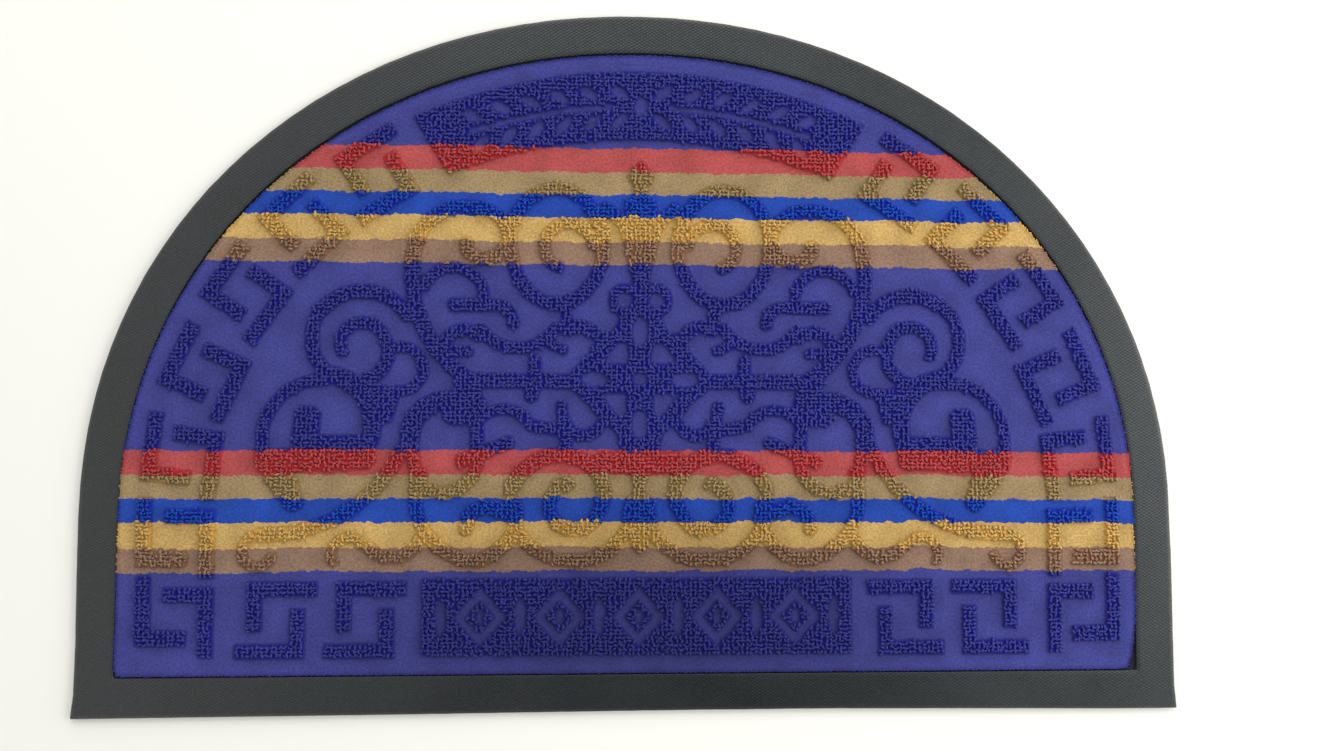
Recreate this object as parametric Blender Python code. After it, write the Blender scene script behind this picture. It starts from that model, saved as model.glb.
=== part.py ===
"""Half-moon doormat: a moulded rubber sheet with a recess, and the loop carpet panel that lies in it.

The mat lies flat, face up. X runs along its straight hem, Y from the hem towards the top of the arch and
Z up. The origin is at the middle of the underside. Lengths are in millimetres; MM turns them into metres.
"""

from math import acos, ceil, cos, degrees, hypot, radians, sin

import bmesh
import bpy
from mathutils import Vector
from mathutils.geometry import delaunay_2d_cdt

MM = 0.001

# Plan of the mat
WIDTH = 700.0
DEPTH = 450.0
SPRING_Y = -100.0
SIDE_LEFT = 349.0
SIDE_RIGHT = 347.8
FULLNESS_LEFT = 2.08
FULLNESS_RIGHT = 2.05
ARCH_STEPS = 30

# Plan of the recess and of the carpet panel in it
BORDER_TOP = 24.7
BORDER_SIDE = 24.2
BORDER_HEM = 24.6
RECESS_FULLNESS = 2.07
PANEL_GAP_TOP = 1.9
PANEL_GAP_SIDE = 0.6
PANEL_GAP_HEM = 1.1
PANEL_FULLNESS = 2.052

# Heights
RECESS_Z = 2.0
BORDER_Z = 3.6
SEAT_GAP = 0.3
GROUND_Z = 4.2
ORNAMENT_Z = 6.4

# Pattern. Turns are cut into steps that leave the true curve by no more than the chord error.
# The pattern was pressed in a little nearer to the hem than it is drawn here.
PATTERN_SHIFT = (0.1, -0.5)
CHORD_ERROR = 0.4
KEY_STROKE = 9.6
END_REACH = 0.24
END_SHARE = 0.5
WELD = 0.02
FLAT_ANGLE = 4.0
SHARP_ANGLE = 30.0

# The hem sags inwards a little between its two corners, which flare out
HEM_LINE = (
    # x, y
    (-300.0, -224.8),
    (-150.0, -224.2),
    (20.0, -223.2),
    (120.0, -223.1),
    (240.0, -224.2),
    (310.0, -225.0),
)
SIDE_WAIST = (
    # y, distance in from the widest line of the left side, and of the right side
    (-210.0, 0.4, -0.9),
    (-180.0, 0.7, -0.8),
    (-135.0, 0.1, -0.7),
)

# The panel's lower corners are cut by hand: a small round on the left, a long taper on the right
PANEL_CORNER_LEFT = (
    # distance in from the side, height above the hem edge
    (0.0, 6.5),
    (0.5, 2.5),
    (2.5, 0.4),
    (6.0, 0.0),
)
PANEL_CORNER_RIGHT = (
    # distance in from the side, height above the hem edge
    (12.0, 0.0),
    (6.4, 1.0),
    (4.4, 4.0),
    (3.2, 8.5),
    (1.9, 16.0),
    (0.7, 26.0),
    (0.0, 38.0),
)

# Greek key units, up the right side and then along the hem. Each unit is two hooks, back to back.
KEYS = (
    # centre x, centre y, turn in degrees
    (169.5, 118.0, 57),
    (215.0, 84.5, 45),
    (249.5, 40.5, 34),
    (274.0, -10.0, 24),
    (286.5, -62.5, 7),
    (289.0, -113.5, 0),
    (288.5, -162.3, 0),
    (226.5, -164.8, -90),
    (171.5, -164.8, -90),
)
KEY_LEG = 38.6
KEY_FOOT = 26.6
KEY_SPREAD = 19.3
KEY_RISE = 13.3

# Solid bands of loops: one follows the arch, one lies along the hem
ARCH_BAND = {
    # radius and centre height of each edge, and how far it reaches from the middle
    "outer": (346.0, -157.7),
    "inner": (331.0, -188.3),
    "outer_end": 147.0,
    "inner_end": 124.0,
}
ARCH_BAND_STEPS = 14
HEM_BAND = {"half_width": 136.5, "top": -139.5, "low": -187.5}

# Scrolls of the right half, each a turn about a centre whose radius may grow
SCROLLS = (
    # centre x, centre y, first radius, last radius, first angle, last angle, height ratio, stroke
    (54.5, 73.5, 30.5, 30.5, 0, 180, 1.21, 9.0),
    (53.8, 73.5, 29.8, 29.8, 180, 360, 1.29, 9.0),
    (47.8, 71.5, 13.0, 18.0, -75, 178, 1.0, 8.0),
    (103.5, 75.5, 7.5, 18.5, 5, -180, 0.85, 9.0),
    (107.0, 75.5, 22.0, 35.5, -180, -360, 0.77, 9.0),
    (64.0, 55.0, 82.3, 82.3, 17, -57, 1.0, 10.0),
    (120.0, 38.5, 20.0, 20.0, 15, 188, 1.0, 7.5),
    (92.0, 23.5, 10.5, 10.5, 95, 195, 1.0, 8.0),
    (113.0, 4.0, 13.0, 15.0, 20, 140, 1.0, 8.5),
    (79.0, 36.0, 29.0, 30.0, -35, -150, 1.0, 8.0),
    (39.0, 8.0, 13.0, 13.0, 50, 150, 1.0, 8.5),
    (10.4, 38.2, 7.8, 7.8, 0, 180, 1.05, 6.0),
    (10.4, 38.2, 7.8, 7.8, 180, 360, 1.05, 6.0),
    (177.0, 8.0, 13.0, 15.5, -28, 170, 1.0, 8.0),
    (177.0, 8.0, 15.5, 34.0, 170, 395, 1.0, 9.0),
    (177.0, 8.0, 34.0, 35.0, 395, 508, 1.0, 9.5),
    (152.0, -6.5, 13.5, 15.0, 70, 285, 1.0, 7.0),
    (199.5, -52.0, 40.0, 38.5, -28, -10, 1.0, 11.0),
    (199.5, -52.0, 38.5, 38.0, -10, 95, 1.0, 8.0),
    (200.0, -42.0, 31.0, 31.0, 85, 215, 1.0, 12.0),
    (234.0, -20.0, 92.0, 92.0, 203, 273, 1.0, 9.0),
    (238.5, -122.5, 10.5, 9.0, 85, -170, 1.0, 6.5),
    (182.7, -124.0, 10.5, 11.0, -35, 150, 1.0, 6.5),
    (156.0, -108.0, 18.5, 19.0, -35, -165, 1.0, 8.0),
    (122.0, -51.0, 24.0, 24.0, 110, -5, 1.0, 13.0),
    (101.5, -88.5, 40.5, 40.0, 25, -90, 1.0, 9.0),
    (101.5, -88.5, 40.0, 22.0, -90, -175, 1.0, 9.0),
    (124.0, -64.0, 21.0, 22.0, 175, 330, 1.0, 8.0),
    (97.0, -108.0, 14.0, 13.0, 135, -10, 1.0, 9.0),
    (87.0, -53.5, 21.0, 21.0, 30, 150, 1.0, 7.5),
    (36.0, -37.0, 12.0, 12.0, -20, -155, 1.0, 8.0),
    (42.3, -93.0, 14.0, 17.0, 85, -170, 1.0, 9.0),
    (42.3, -93.0, 17.0, 41.0, -170, -345, 1.0, 10.0),
    (42.3, -93.0, 41.0, 35.5, -345, -445, 1.0, 8.5),
    (42.3, -93.0, 35.5, 38.0, -445, -523, 1.0, 8.5),
)

# Straight ties between the scrolls of the right half
TIES = (
    # first x, first y, last x, last y, first stroke, last stroke
    (121.0, 34.0, 90.0, 34.0, 9.5, 8.0),
    (48.0, 35.0, 47.0, 17.0, 8.0, 8.0),
    (62.0, 11.0, 48.0, 5.0, 7.0, 7.0),
    (124.0, 5.0, 108.0, 4.0, 8.0, 7.0),
    (117.0, -14.5, 40.0, -14.5, 10.0, 10.0),
    (67.0, -14.0, 67.5, 1.0, 10.0, 8.0),
    (68.0, -14.0, 70.0, -26.0, 13.0, 9.0),
    (71.0, -42.0, 44.0, -48.0, 8.0, 8.0),
    (50.5, -29.0, 46.0, -62.0, 8.0, 8.5),
    (104.0, -33.0, 103.0, -68.0, 9.5, 9.0),
    (82.0, -53.0, 115.0, -66.0, 8.5, 9.0),
    (146.0, -48.0, 141.0, -77.0, 9.0, 9.0),
    (113.0, -12.0, 105.0, -31.0, 15.0, 15.0),
    (121.0, -33.0, 103.0, -33.0, 20.0, 19.0),
    (227.5, -72.0, 216.0, -94.0, 21.0, 12.0),
    (209.5, -35.0, 211.5, -54.0, 17.0, 17.0),
    (238.0, -66.0, 172.0, -61.5, 14.0, 19.0),
    (215.0, -54.0, 172.0, -54.0, 10.0, 10.0),
    (178.0, -18.0, 158.0, -24.0, 9.0, 10.0),
    (159.5, -22.0, 161.0, -40.0, 16.0, 8.0),
    (26.0, -66.0, -2.0, -66.0, 14.0, 14.0),
    (24.0, 99.0, 8.0, 86.0, 9.0, 9.0),
)

# Rosette in the middle: a raised body with petals, fans and a heart pressed into it
ROSETTE_RIM = (
    # x, y of the right half, from top to foot
    (0.0, 33.5),
    (12.5, 31.5),
    (15.0, 24.0),
    (18.5, 17.5),
    (27.0, 17.0),
    (33.0, 4.0),
    (45.0, -9.0),
    (45.0, -19.5),
    (33.0, -29.0),
    (25.0, -40.5),
    (15.0, -47.5),
    (12.0, -62.0),
    (0.0, -62.0),
)
ROSETTE_PETALS = (
    # centre x, centre y, half width, half height
    (0.0, 17.8, 5.0, 10.0),
    (0.0, -42.0, 5.2, 9.2),
    (0.0, -12.6, 4.8, 3.8),
    (29.0, -13.0, 8.6, 4.9),
    (-29.0, -13.0, 8.6, 4.9),
)
ROSETTE_FANS = (
    # corners of the upper fan of the right half, then of the lower one
    ((7.0, -2.6), (22.5, -2.6), (20.5, 3.5), (15.5, 9.0), (10.5, 10.6), (8.3, 8.0)),
    ((9.0, -22.5), (25.0, -22.5), (20.0, -29.0), (14.0, -36.5), (10.5, -37.0), (8.8, -32.0)),
)

# Turned-looking shapes on the middle line, read from top to foot
STEM = (
    # y, half width
    (130.0, 0.5),
    (118.5, 9.5),
    (112.5, 5.0),
    (106.0, 5.0),
    (103.0, 10.0),
    (92.0, 12.0),
    (90.0, 18.0),
    (84.0, 14.0),
    (74.0, 11.0),
    (61.0, 8.0),
    (50.0, 5.5),
    (36.0, 4.5),
    (26.0, 5.0),
)
FLEUR = (
    # y, half width
    (-72.0, 8.0),
    (-79.0, 4.0),
    (-85.0, 3.5),
    (-89.0, 9.0),
    (-98.0, 11.0),
    (-105.0, 9.0),
    (-110.0, 5.5),
    (-118.0, 6.5),
    (-124.0, 0.5),
)

# Motifs pressed down into the two solid bands: a leafy spray on the arch, lozenges and leaves at the hem
SPRAY_RADIUS = 340.0
SPRAY_CENTRE_Y = -175.0
SPRAY_HALF_ANGLE = 19.0
SPRAY_LEAVES = 6
SPRAY_STEM = 3.4
SPRAY_FIRST_LEAF = 0.75
LEAF_LENGTH = 15.0
LEAF_WIDTH = 6.6
LEAF_LEAN = 38.0
LEAF_OFFSET = 9.5
MIDDLE_LEAF_WIDTH = 9.2
LOZENGE_COUNT = 5
LOZENGE_PITCH = 50.0
LOZENGE_HALF_HEIGHT = 18.5
LOZENGE_HALF_WIDTH = 16.5
LOZENGE_STROKE = 7.0
HEM_LEAF_LENGTH = 26.0
HEM_LEAF_WIDTH = 7.0
CORE_LEAF_LENGTH = 11.0
CORE_LEAF_WIDTH = 5.0

# Half of a leaf's edge, from its tip to just short of its other tip
LEAF_EDGE = (
    # share of the length, share of the width
    (0.5, 0.0),
    (0.27, 0.4),
    (0.0, 0.5),
    (-0.27, 0.4),
)


def superellipse(half_width, rise, fullness, steps):
    """A quarter of an arch, from its side up to its crown."""
    points = []
    for step in range(steps + 1):
        angle = radians(90.0 * step / steps)
        x = half_width * max(cos(angle), 0.0) ** (2.0 / fullness)
        y = rise * sin(angle) ** (2.0 / fullness)
        points.append((x, y))
    return points


def half_moon(left, right, crown, fullness_left, fullness_right, foot):
    """Counter-clockwise outline: the points of the foot, then up the right side and round to the left."""
    rise = crown - SPRING_Y
    right_arch = [(x, SPRING_Y + y) for x, y in superellipse(right, rise, fullness_right, ARCH_STEPS)]
    left_arch = [(-x, SPRING_Y + y) for x, y in superellipse(left, rise, fullness_left, ARCH_STEPS)]
    return foot + right_arch + left_arch[-2::-1]


def mat_outline():
    """The whole mat: nearly straight hem, flared corners, slightly waisted sides."""
    corner = WIDTH / 2
    low = -DEPTH / 2
    left_side = [(-(SIDE_LEFT - inset), y) for y, inset, _ in reversed(SIDE_WAIST)]
    right_side = [(SIDE_RIGHT - inset, y) for y, _, inset in SIDE_WAIST]
    foot = left_side + [(-corner, low)] + list(HEM_LINE) + [(corner, low)] + right_side
    return half_moon(SIDE_LEFT, SIDE_RIGHT, DEPTH / 2, FULLNESS_LEFT, FULLNESS_RIGHT, foot)


def recess_outline():
    """The recess in the rubber, with square lower corners."""
    left = SIDE_LEFT - BORDER_SIDE
    right = SIDE_RIGHT - BORDER_SIDE
    low = -DEPTH / 2 + BORDER_HEM
    foot = [(-left, low), (right, low)]
    return half_moon(left, right, DEPTH / 2 - BORDER_TOP, RECESS_FULLNESS, RECESS_FULLNESS, foot)


def panel_outline():
    """The carpet panel: the recess less the gap round it, with its lower corners cut by hand."""
    left = SIDE_LEFT - BORDER_SIDE - PANEL_GAP_SIDE
    right = SIDE_RIGHT - BORDER_SIDE - PANEL_GAP_SIDE
    low = -DEPTH / 2 + BORDER_HEM + PANEL_GAP_HEM
    foot = [(-left + inset, low + height) for inset, height in PANEL_CORNER_LEFT]
    foot += [(right - inset, low + height) for inset, height in PANEL_CORNER_RIGHT]
    crown = DEPTH / 2 - BORDER_TOP - PANEL_GAP_TOP
    return half_moon(left, right, crown, PANEL_FULLNESS, PANEL_FULLNESS, foot)


def mirrored(points):
    """The same outline on the left half, still counter-clockwise."""
    return [(-x, y) for x, y in reversed(points)]


def symmetric(right_edge):
    """An outline about the middle line, from its right edge read from top to foot."""
    left_edge = [(-x, y) for x, y in reversed(right_edge) if x > 0]
    return counter_clockwise(list(right_edge) + left_edge)


def counter_clockwise(points):
    """The outline, reversed if it runs clockwise."""
    area = 0.0
    for (xa, ya), (xb, yb) in zip(points, points[1:] + points[:1]):
        area += xa * yb - xb * ya
    return points if area > 0 else points[::-1]


def unit(x, y):
    """The vector x, y at length one."""
    length = hypot(x, y)
    return x / length, y / length


def stroke(line, widths):
    """Outline of a band of loops along a centre line, with a width at each point, mitred at its bends."""
    last = len(line) - 1
    runs = [unit(b[0] - a[0], b[1] - a[1]) for a, b in zip(line, line[1:])]
    left = []
    right = []
    for index, ((x, y), width) in enumerate(zip(line, widths)):
        before = runs[max(index - 1, 0)]
        after = runs[min(index, last - 1)]
        side = unit(-before[1] - after[1], before[0] + after[0])
        reach = width / 2 / (-side[0] * before[1] + side[1] * before[0])
        left.append((x + side[0] * reach, y + side[1] * reach))
        right.append((x - side[0] * reach, y - side[1] * reach))
    return counter_clockwise(left + right[::-1])


def blunt_stroke(line, first_width, last_width):
    """A stroke that runs on a little past both ends and narrows there, as worn ends of loops do."""
    last = len(line) - 1
    widths = [first_width + (last_width - first_width) * index / last for index in range(last + 1)]
    tips = []
    for end, inner, width in ((line[0], line[1], first_width), (line[-1], line[-2], last_width)):
        away = unit(end[0] - inner[0], end[1] - inner[1])
        tips.append((end[0] + END_REACH * width * away[0], end[1] + END_REACH * width * away[1]))
    tip_widths = (END_SHARE * first_width, END_SHARE * last_width)
    return stroke([tips[0], *line, tips[1]], [tip_widths[0], *widths, tip_widths[1]])


def turn_line(centre_x, centre_y, first_radius, last_radius, first_angle, last_angle, ratio):
    """Points of a turn about a centre, close enough together to look round."""
    biggest = max(first_radius, last_radius)
    widest_step = 2 * degrees(acos(1 - CHORD_ERROR / biggest))
    steps = ceil(abs(last_angle - first_angle) / widest_step)
    points = []
    for step in range(steps + 1):
        share = step / steps
        angle = radians(first_angle + (last_angle - first_angle) * share)
        radius = first_radius + (last_radius - first_radius) * share
        points.append((centre_x + radius * cos(angle), centre_y + ratio * radius * sin(angle)))
    return points


def scroll_outlines():
    """Every scroll and tie of both halves, and the shapes on the middle line."""
    right_half = []
    for *turn, width in SCROLLS:
        right_half.append(blunt_stroke(turn_line(*turn), width, width))
    for xa, ya, xb, yb, first_width, last_width in TIES:
        right_half.append(blunt_stroke([(xa, ya), (xb, yb)], first_width, last_width))
    middle = [symmetric([(half, y) for y, half in profile]) for profile in (STEM, FLEUR)]
    middle.append(symmetric(ROSETTE_RIM))
    return right_half + [mirrored(outline) for outline in right_half] + middle


def key_outlines():
    """The Greek key units of both halves."""
    hook = (
        (KEY_SPREAD, KEY_LEG - KEY_RISE),
        (KEY_SPREAD, -KEY_RISE),
        (KEY_SPREAD - KEY_FOOT, -KEY_RISE),
    )
    outlines = []
    for centre_x, centre_y, turn in KEYS:
        angle = radians(turn)
        for side in (1, -1):
            line = []
            for x, y in hook:
                along = side * (x * cos(angle) - y * sin(angle))
                across = side * (x * sin(angle) + y * cos(angle))
                line.append((centre_x + along, centre_y + across))
            outline = stroke(line, [KEY_STROKE] * len(line))
            outlines += [outline, mirrored(outline)]
    return outlines


def oval(centre_x, centre_y, half_width, half_height):
    """An oval, standing or lying."""
    reach = max(half_width, half_height)
    circle = turn_line(0, 0, reach, reach, 0, 360, 1.0)[:-1]
    return [(centre_x + x * half_width / reach, centre_y + y * half_height / reach) for x, y in circle]


def rosette_openings():
    """The petals, the heart and the fans that are pressed into the rosette."""
    fans = [counter_clockwise(list(corners)) for corners in ROSETTE_FANS]
    return [oval(*petal) for petal in ROSETTE_PETALS] + fans + [mirrored(fan) for fan in fans]


def circle_y(radius, centre_y, x):
    """Height of a circle centred on the middle line, at x."""
    return centre_y + (radius * radius - x * x) ** 0.5


def band_outlines():
    """The band under the crown of the arch, and the band at the hem."""
    upper = []
    lower = []
    for step in range(-ARCH_BAND_STEPS, ARCH_BAND_STEPS + 1):
        upper_x = ARCH_BAND["outer_end"] * step / ARCH_BAND_STEPS
        lower_x = ARCH_BAND["inner_end"] * step / ARCH_BAND_STEPS
        upper.append((upper_x, circle_y(*ARCH_BAND["outer"], upper_x)))
        lower.append((lower_x, circle_y(*ARCH_BAND["inner"], lower_x)))
    half = HEM_BAND["half_width"]
    hem = [
        (-half, HEM_BAND["low"]),
        (half, HEM_BAND["low"]),
        (half, HEM_BAND["top"]),
        (-half, HEM_BAND["top"]),
    ]
    return [lower + upper[::-1], hem]


def leaf(centre_x, centre_y, length, width, lean):
    """A pointed leaf, its long way leaning from +X by the given angle."""
    corners = [(length * along, width * across) for along, across in LEAF_EDGE]
    corners += [(-x, -y) for x, y in corners]
    angle = radians(lean)
    turned = []
    for x, y in corners:
        turned_x = centre_x + x * cos(angle) - y * sin(angle)
        turned_y = centre_y + x * sin(angle) + y * cos(angle)
        turned.append((turned_x, turned_y))
    return turned


def spray_outlines():
    """A stem with leaves on both sides, on each half of the arch band, and an upright leaf between them."""
    outlines = []
    first = 90 - SPRAY_HALF_ANGLE
    last = 90 - SPRAY_HALF_ANGLE / SPRAY_LEAVES
    stem = turn_line(0, SPRAY_CENTRE_Y, SPRAY_RADIUS, SPRAY_RADIUS, first, last, 1.0)
    outlines.append(stroke(stem, [SPRAY_STEM] * len(stem)))
    for index in range(SPRAY_LEAVES):
        angle = 90 - SPRAY_HALF_ANGLE * (index + SPRAY_FIRST_LEAF) / SPRAY_LEAVES
        for side in (1, -1):
            radius = SPRAY_RADIUS + side * LEAF_OFFSET
            x = radius * cos(radians(angle))
            y = SPRAY_CENTRE_Y + radius * sin(radians(angle))
            outlines.append(leaf(x, y, LEAF_LENGTH, LEAF_WIDTH, angle - 90 + side * LEAF_LEAN))
    outlines += [mirrored(outline) for outline in outlines]
    outlines.append(leaf(0, SPRAY_CENTRE_Y + SPRAY_RADIUS, LEAF_LENGTH, MIDDLE_LEAF_WIDTH, 90))
    return outlines


def lozenge(centre_x, centre_y, half_width, half_height):
    """A lozenge standing on its point."""
    return [
        (centre_x + half_width, centre_y),
        (centre_x, centre_y + half_height),
        (centre_x - half_width, centre_y),
        (centre_x, centre_y - half_height),
    ]


def hem_band_motifs():
    """Lozenge frames along the hem band, each with a leaf in it and a leaf beside it, as (raised, outline)."""
    middle_y = (HEM_BAND["top"] + HEM_BAND["low"]) / 2
    motifs = []
    for index in range(LOZENGE_COUNT):
        x = LOZENGE_PITCH * (index - (LOZENGE_COUNT - 1) / 2)
        frame = lozenge(x, middle_y, LOZENGE_HALF_WIDTH, LOZENGE_HALF_HEIGHT)
        core_width = LOZENGE_HALF_WIDTH - LOZENGE_STROKE
        core_height = core_width * LOZENGE_HALF_HEIGHT / LOZENGE_HALF_WIDTH
        motifs.append((False, frame))
        motifs.append((True, lozenge(x, middle_y, core_width, core_height)))
        motifs.append((False, leaf(x, middle_y, CORE_LEAF_LENGTH, CORE_LEAF_WIDTH, 90)))
    for index in range(LOZENGE_COUNT + 1):
        x = LOZENGE_PITCH * (index - LOZENGE_COUNT / 2)
        motifs.append((False, leaf(x, middle_y, HEM_LEAF_LENGTH, HEM_LEAF_WIDTH, 90)))
    return motifs


def material(name, colour, roughness, metallic):
    """A plain Principled material in the piece's own colour."""
    made = bpy.data.materials.new(name)
    made.use_nodes = True
    made.diffuse_color = colour
    shader = made.node_tree.nodes["Principled BSDF"]
    shader.inputs["Base Color"].default_value = colour
    shader.inputs["Roughness"].default_value = roughness
    shader.inputs["Metallic"].default_value = metallic
    return made


def plan_mesh(outline, shapes):
    """A flat mesh of the outline. Of the shapes over a face, the last says if the face is raised.

    Each shape is a pair: whether it is raised, and its outline. Raised faces carry material index 1.
    """
    points = []
    faces = []
    for shape in [outline] + [shape for _, shape in shapes]:
        faces.append(list(range(len(points), len(points) + len(shape))))
        points += [Vector(point) for point in shape]
    flat, _, triangles, _, _, owners = delaunay_2d_cdt(points, [], faces, 1, WELD)
    plan = bmesh.new()
    corners = [plan.verts.new((point.x * MM, point.y * MM, 0)) for point in flat]
    for triangle, owner in zip(triangles, owners):
        if 0 not in owner:
            continue
        face = plan.faces.new([corners[index] for index in triangle])
        covering = max(owner)
        face.material_index = int(covering > 0 and shapes[covering - 1][0])
    bmesh.ops.dissolve_limit(
        plan,
        angle_limit=radians(FLAT_ANGLE),
        verts=plan.verts,
        edges=plan.edges,
        delimit={"MATERIAL"},
    )
    bmesh.ops.triangulate(plan, faces=plan.faces)
    return plan


def stepped_sheet(name, outline, shapes, under_z, low_z, high_z, finish):
    """A closed sheet: flat underneath, low_z on top, and high_z inside the raised shapes."""
    sheet = plan_mesh(outline, shapes)
    bmesh.ops.translate(sheet, verts=sheet.verts, vec=(0, 0, low_z * MM))
    rim = [edge for edge in sheet.edges if edge.is_boundary]
    high = [face for face in sheet.faces if face.material_index == 1]
    low_rim = bmesh.ops.extrude_edge_only(sheet, edges=rim)["geom"]
    foot_points = [item for item in low_rim if isinstance(item, bmesh.types.BMVert)]
    foot_edges = [item for item in low_rim if isinstance(item, bmesh.types.BMEdge)]
    bmesh.ops.translate(sheet, verts=foot_points, vec=(0, 0, (under_z - low_z) * MM))
    bmesh.ops.edgenet_fill(sheet, edges=foot_edges)
    lifted = bmesh.ops.extrude_face_region(sheet, geom=high)["geom"]
    crest_points = [item for item in lifted if isinstance(item, bmesh.types.BMVert)]
    bmesh.ops.translate(sheet, verts=crest_points, vec=(0, 0, (high_z - low_z) * MM))
    bmesh.ops.delete(sheet, geom=[face for face in high if face.is_valid], context="FACES_ONLY")
    bmesh.ops.recalc_face_normals(sheet, faces=sheet.faces)
    for face in sheet.faces:
        face.material_index = 0
    mesh = bpy.data.meshes.new(name)
    sheet.to_mesh(mesh)
    sheet.free()
    mesh.materials.append(finish)
    mesh.shade_smooth()
    mesh.set_sharp_from_angle(angle=radians(SHARP_ANGLE))
    piece = bpy.data.objects.new(name, mesh)
    bpy.context.scene.collection.objects.link(piece)
    return piece


def clear_scene():
    """Remove whatever the file holds."""
    for item in list(bpy.data.objects):
        bpy.data.objects.remove(item)


def build_rubber_base():
    """The rubber sheet: the border stands up round the recess."""
    outline = mat_outline()
    finish = material("slate_rubber", (0.055, 0.065, 0.07, 1), 0.65, 0.0)
    shapes = [(True, outline), (False, recess_outline())]
    return stepped_sheet("rubber_base", outline, shapes, 0.0, RECESS_Z, BORDER_Z, finish)


def build_pile_insert():
    """The carpet panel: the pressed ground, with the ornament standing up from it."""
    shapes = [(True, shape) for shape in key_outlines() + scroll_outlines() + band_outlines()]
    shapes += [(False, shape) for shape in rosette_openings() + spray_outlines()]
    shapes += hem_band_motifs()
    right, up = PATTERN_SHIFT
    shapes = [(raised, [(x + right, y + up) for x, y in shape]) for raised, shape in shapes]
    finish = material("blue_violet_loop_carpet", (0.045, 0.045, 0.2, 1), 0.95, 0.0)
    seat_z = RECESS_Z + SEAT_GAP
    return stepped_sheet("pile_insert", panel_outline(), shapes, seat_z, GROUND_Z, ORNAMENT_Z, finish)


clear_scene()
build_rubber_base()
build_pile_insert()
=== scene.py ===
# %% [markdown]
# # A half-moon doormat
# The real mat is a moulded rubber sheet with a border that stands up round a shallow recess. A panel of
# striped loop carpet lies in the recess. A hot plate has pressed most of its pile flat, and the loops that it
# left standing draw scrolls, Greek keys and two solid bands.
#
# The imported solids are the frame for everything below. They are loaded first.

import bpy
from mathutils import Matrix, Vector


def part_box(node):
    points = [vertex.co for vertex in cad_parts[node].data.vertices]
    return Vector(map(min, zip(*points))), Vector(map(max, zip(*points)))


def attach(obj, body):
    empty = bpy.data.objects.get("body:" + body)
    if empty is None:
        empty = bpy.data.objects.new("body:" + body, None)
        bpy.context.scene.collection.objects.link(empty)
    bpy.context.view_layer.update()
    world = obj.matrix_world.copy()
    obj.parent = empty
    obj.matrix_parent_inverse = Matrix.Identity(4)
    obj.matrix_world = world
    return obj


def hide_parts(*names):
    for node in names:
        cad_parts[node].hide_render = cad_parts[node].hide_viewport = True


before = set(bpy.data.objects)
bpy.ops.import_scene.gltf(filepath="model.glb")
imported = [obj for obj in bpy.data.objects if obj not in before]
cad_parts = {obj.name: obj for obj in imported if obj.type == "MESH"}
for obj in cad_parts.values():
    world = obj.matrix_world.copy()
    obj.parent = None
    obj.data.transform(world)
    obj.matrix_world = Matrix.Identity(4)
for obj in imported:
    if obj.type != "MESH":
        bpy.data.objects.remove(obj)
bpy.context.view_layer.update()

# %% [markdown]
# ## Units and shared tools
# The scene is in metres, but a mat is easier to think of in millimetres, so sizes are written as a number
# times MM. Colours are written as they look on a screen, from 0 to 255, and turned into the linear values
# that a shader wants. Blender's operators act on all that is selected, so a small function selects one
# piece alone before any of them is called.

# %% Units and shared tools
from math import cos, pi, radians, sin

import bmesh
import bpy
import numpy as np
from mathutils import Vector, noise
from mathutils.bvhtree import BVHTree
from mathutils.geometry import delaunay_2d_cdt
from mathutils.kdtree import KDTree

MM = 0.001
rng = np.random.default_rng(11)


def screen_colour(red, green, blue):
    """A colour from 0 to 255 as it looks on a screen, as the linear RGBA of a shader."""
    parts = [channel / 255 for channel in (red, green, blue)]
    linear = [part / 12.92 if part <= 0.04045 else ((part + 0.055) / 1.055) ** 2.4 for part in parts]
    return (*linear, 1.0)


def pick(piece):
    """Selects this piece alone and makes it the active one."""
    bpy.ops.object.select_all(action="DESELECT")
    piece.select_set(True)
    bpy.context.view_layer.objects.active = piece


def new_piece(name, mesh):
    """An object for the mesh, at the origin of the scene."""
    piece = bpy.data.objects.new(name, mesh)
    bpy.context.scene.collection.objects.link(piece)
    return piece


def point_places(mesh):
    """The places of the mesh's points as an array with a row for each."""
    places = np.empty(len(mesh.vertices) * 3, np.float32)
    mesh.vertices.foreach_get("co", places)
    return places.reshape(-1, 3).astype(float)


def give_attribute(mesh, name, kind, values):
    """Stores one value, or one vector, for each point of the mesh."""
    attribute = mesh.attributes.new(name, kind, "POINT")
    field = "vector" if kind == "FLOAT_VECTOR" else "value"
    attribute.data.foreach_set(field, np.asarray(values, np.float32).ravel())


# %% [markdown]
# ## The camera
# The photograph looks almost straight down on the mat. Its lens and place were worked out from the mat's
# own outline and straight stripes. The focal length is kept in pixels of the photograph, because that is
# what such a fit gives, and is turned into millimetres of lens for the camera's sensor.

# %% The camera
PHOTO_WIDTH_PX = 1334
FOCAL_PX = 1030.0
SENSOR_MM = 36.0
CAMERA_PLACE = (-16.41 * MM, -46.37 * MM, 665.6 * MM)
CAMERA_TILT = (3.0654, -2.9326, 0.2033)

bpy.ops.object.camera_add(location=CAMERA_PLACE, rotation=[radians(angle) for angle in CAMERA_TILT])
camera = bpy.context.object
camera.name = "camera"
camera.data.sensor_fit = "HORIZONTAL"
camera.data.sensor_width = SENSOR_MM
camera.data.lens = SENSOR_MM * FOCAL_PX / PHOTO_WIDTH_PX
bpy.context.scene.camera = camera
print("lens, mm:", round(camera.data.lens, 2))

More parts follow.
